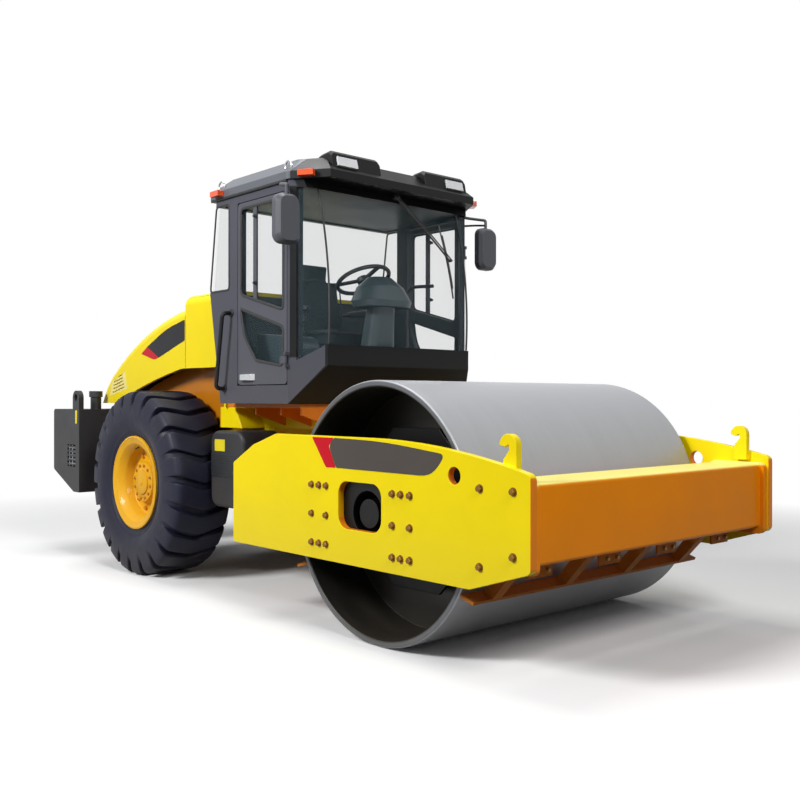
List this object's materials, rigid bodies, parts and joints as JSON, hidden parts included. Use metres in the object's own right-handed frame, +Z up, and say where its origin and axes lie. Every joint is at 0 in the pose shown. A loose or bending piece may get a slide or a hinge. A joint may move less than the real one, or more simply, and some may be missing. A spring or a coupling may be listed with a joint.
{
  "type": "single-drum road roller",
  "caption": "Articulated soil compactor with a smooth vibrating drum in a front frame, ribbed rear tyres, closed cab and lifting engine hood.",
  "frame": {"origin": "on the ground below the vertical steering pivot, half way between front and rear ends", "axes": "+X forward, +Y to the machine's left, +Z up"},
  "size_m": [5.92, 2.34, 3.1],
  "materials": {
    "yellow_paint": "satin",
    "dark_paint": "satin",
    "black_paint": "satin",
    "drum_steel": "rolled",
    "cast_parts": "rough",
    "rod_chrome": "polished",
    "tyre_rubber": "matte",
    "black_rubber": "matte",
    "glass": "tinted",
    "black_plastic": "matte",
    "seat_fabric": "woven",
    "amber_lens": "gloss",
    "red_lens": "gloss",
    "clear_lens": "gloss"
  },
  "bodies": {
    "rear_frame": {"frame_rails": "yellow_paint", "frame_yoke": "yellow_paint", "cab_support": "yellow_paint", "counterweight": "dark_paint", "fuel_filler": "black_plastic", "step_tanks": "dark_paint", "engine": "cast_parts", "rear_axle": "black_paint", "hood_bulkhead": "yellow_paint", "cab_shell": "dark_paint", "cab_roof": "dark_paint", "windscreen": "glass", "cab_glass": "glass", "seat_base": "black_plastic", "seat_cushions": "seat_fabric", "console": "black_plastic", "steering_wheel": "black_plastic", "handrails": "black_paint", "mirrors": "black_plastic", "wiper": "black_plastic", "work_lamps": "black_plastic", "marker_lamps": "amber_lens", "tail_lamps": "red_lens", "roof_visor": "black_paint", "lamp_lenses": "clear_lens", "lifting_rings": "rod_chrome"},
    "hood": {"hood": "yellow_paint", "hood_grille": "black_paint", "hood_vents": "yellow_paint"},
    "door_right": {"door_right": "dark_paint", "door_glass_right": "glass", "door_handle_right": "rod_chrome"},
    "door_left": {"door_left": "dark_paint", "door_glass_left": "glass", "door_handle_left": "rod_chrome"},
    "rear_wheel_right": {"rear_rim_right": "yellow_paint", "rear_tyre_right": "tyre_rubber"},
    "rear_wheel_left": {"rear_rim_left": "yellow_paint", "rear_tyre_left": "tyre_rubber"},
    "centre_link": {"centre_link": "cast_parts"},
    "steering_barrel_right": {"steering_barrel_right": "black_paint"},
    "steering_barrel_left": {"steering_barrel_left": "black_paint"},
    "steering_rod_right": {"steering_rod_right": "rod_chrome"},
    "steering_rod_left": {"steering_rod_left": "rod_chrome"},
    "front_frame": {"side_plates": "yellow_paint", "front_beam": "yellow_paint", "rear_beam": "yellow_paint", "drum_carriers": "dark_paint", "scrapers": "yellow_paint"},
    "drum": {"drum_shell": "drum_steel", "drum_plates": "yellow_paint", "drum_buffers": "black_rubber"}
  },
  "joints": [
    {"name": "steering", "type": "hinge", "parent": "rear_frame", "child": "centre_link", "pos_m": [0, 0, 0.7], "axis": [0, 0, 1], "range_deg": [-33, 33]},
    {"name": "oscillation", "type": "hinge", "parent": "centre_link", "child": "front_frame", "pos_m": [0.48, 0, 0.7], "axis": [-1, 0, 0], "range_deg": [-11, 11]},
    {"name": "drum_spin", "type": "hinge", "parent": "front_frame", "child": "drum", "pos_m": [1.72, 0, 0.7615], "axis": [0, 1, 0], "continuous": true},
    {"name": "wheel_spin_right", "type": "hinge", "parent": "rear_frame", "child": "rear_wheel_right", "pos_m": [-1.29, -0.83, 0.74], "axis": [0, 1, 0], "continuous": true},
    {"name": "wheel_spin_left", "type": "hinge", "parent": "rear_frame", "child": "rear_wheel_left", "pos_m": [-1.29, 0.83, 0.74], "axis": [0, 1, 0], "continuous": true},
    {"name": "door_hinge_right", "type": "hinge", "parent": "rear_frame", "child": "door_right", "pos_m": [0.543, -0.865, 2.1], "axis": [0, 0, 1], "range_deg": [0, 85]},
    {"name": "door_hinge_left", "type": "hinge", "parent": "rear_frame", "child": "door_left", "pos_m": [0.543, 0.865, 2.1], "axis": [0, 0, -1], "range_deg": [0, 85]},
    {"name": "hood_hinge", "type": "hinge", "parent": "rear_frame", "child": "hood", "pos_m": [-1.097, 0, 2.183], "axis": [0, 1, 0], "range_deg": [0, 50]},
    {"name": "cylinder_swing_right", "type": "hinge", "parent": "rear_frame", "child": "steering_barrel_right", "pos_m": [-0.645, -0.26, 0.7], "axis": [0, 0, 1], "range_deg": [-2.39, 2.39]},
    {"name": "cylinder_rod_right", "type": "slide", "parent": "steering_barrel_right", "child": "steering_rod_right", "axis": [0.9957, 0.0926, 0], "range_m": [-0.1118, 0.1118]},
    {"name": "cylinder_swing_left", "type": "hinge", "parent": "rear_frame", "child": "steering_barrel_left", "pos_m": [-0.645, 0.26, 0.7], "axis": [0, 0, 1], "range_deg": [-2.39, 2.39]},
    {"name": "cylinder_rod_left", "type": "slide", "parent": "steering_barrel_left", "child": "steering_rod_left", "axis": [0.9957, -0.0926, 0], "range_m": [-0.1118, 0.1118]}
  ],
  "couplings": [
    {"joint": "cylinder_swing_right", "follows": "steering", "ratio": -0.04225},
    {"joint": "cylinder_rod_right", "follows": "steering", "m_per_rad": 0.18716},
    {"joint": "cylinder_swing_left", "follows": "steering", "ratio": -0.04225},
    {"joint": "cylinder_rod_left", "follows": "steering", "m_per_rad": -0.18716}
  ]
}
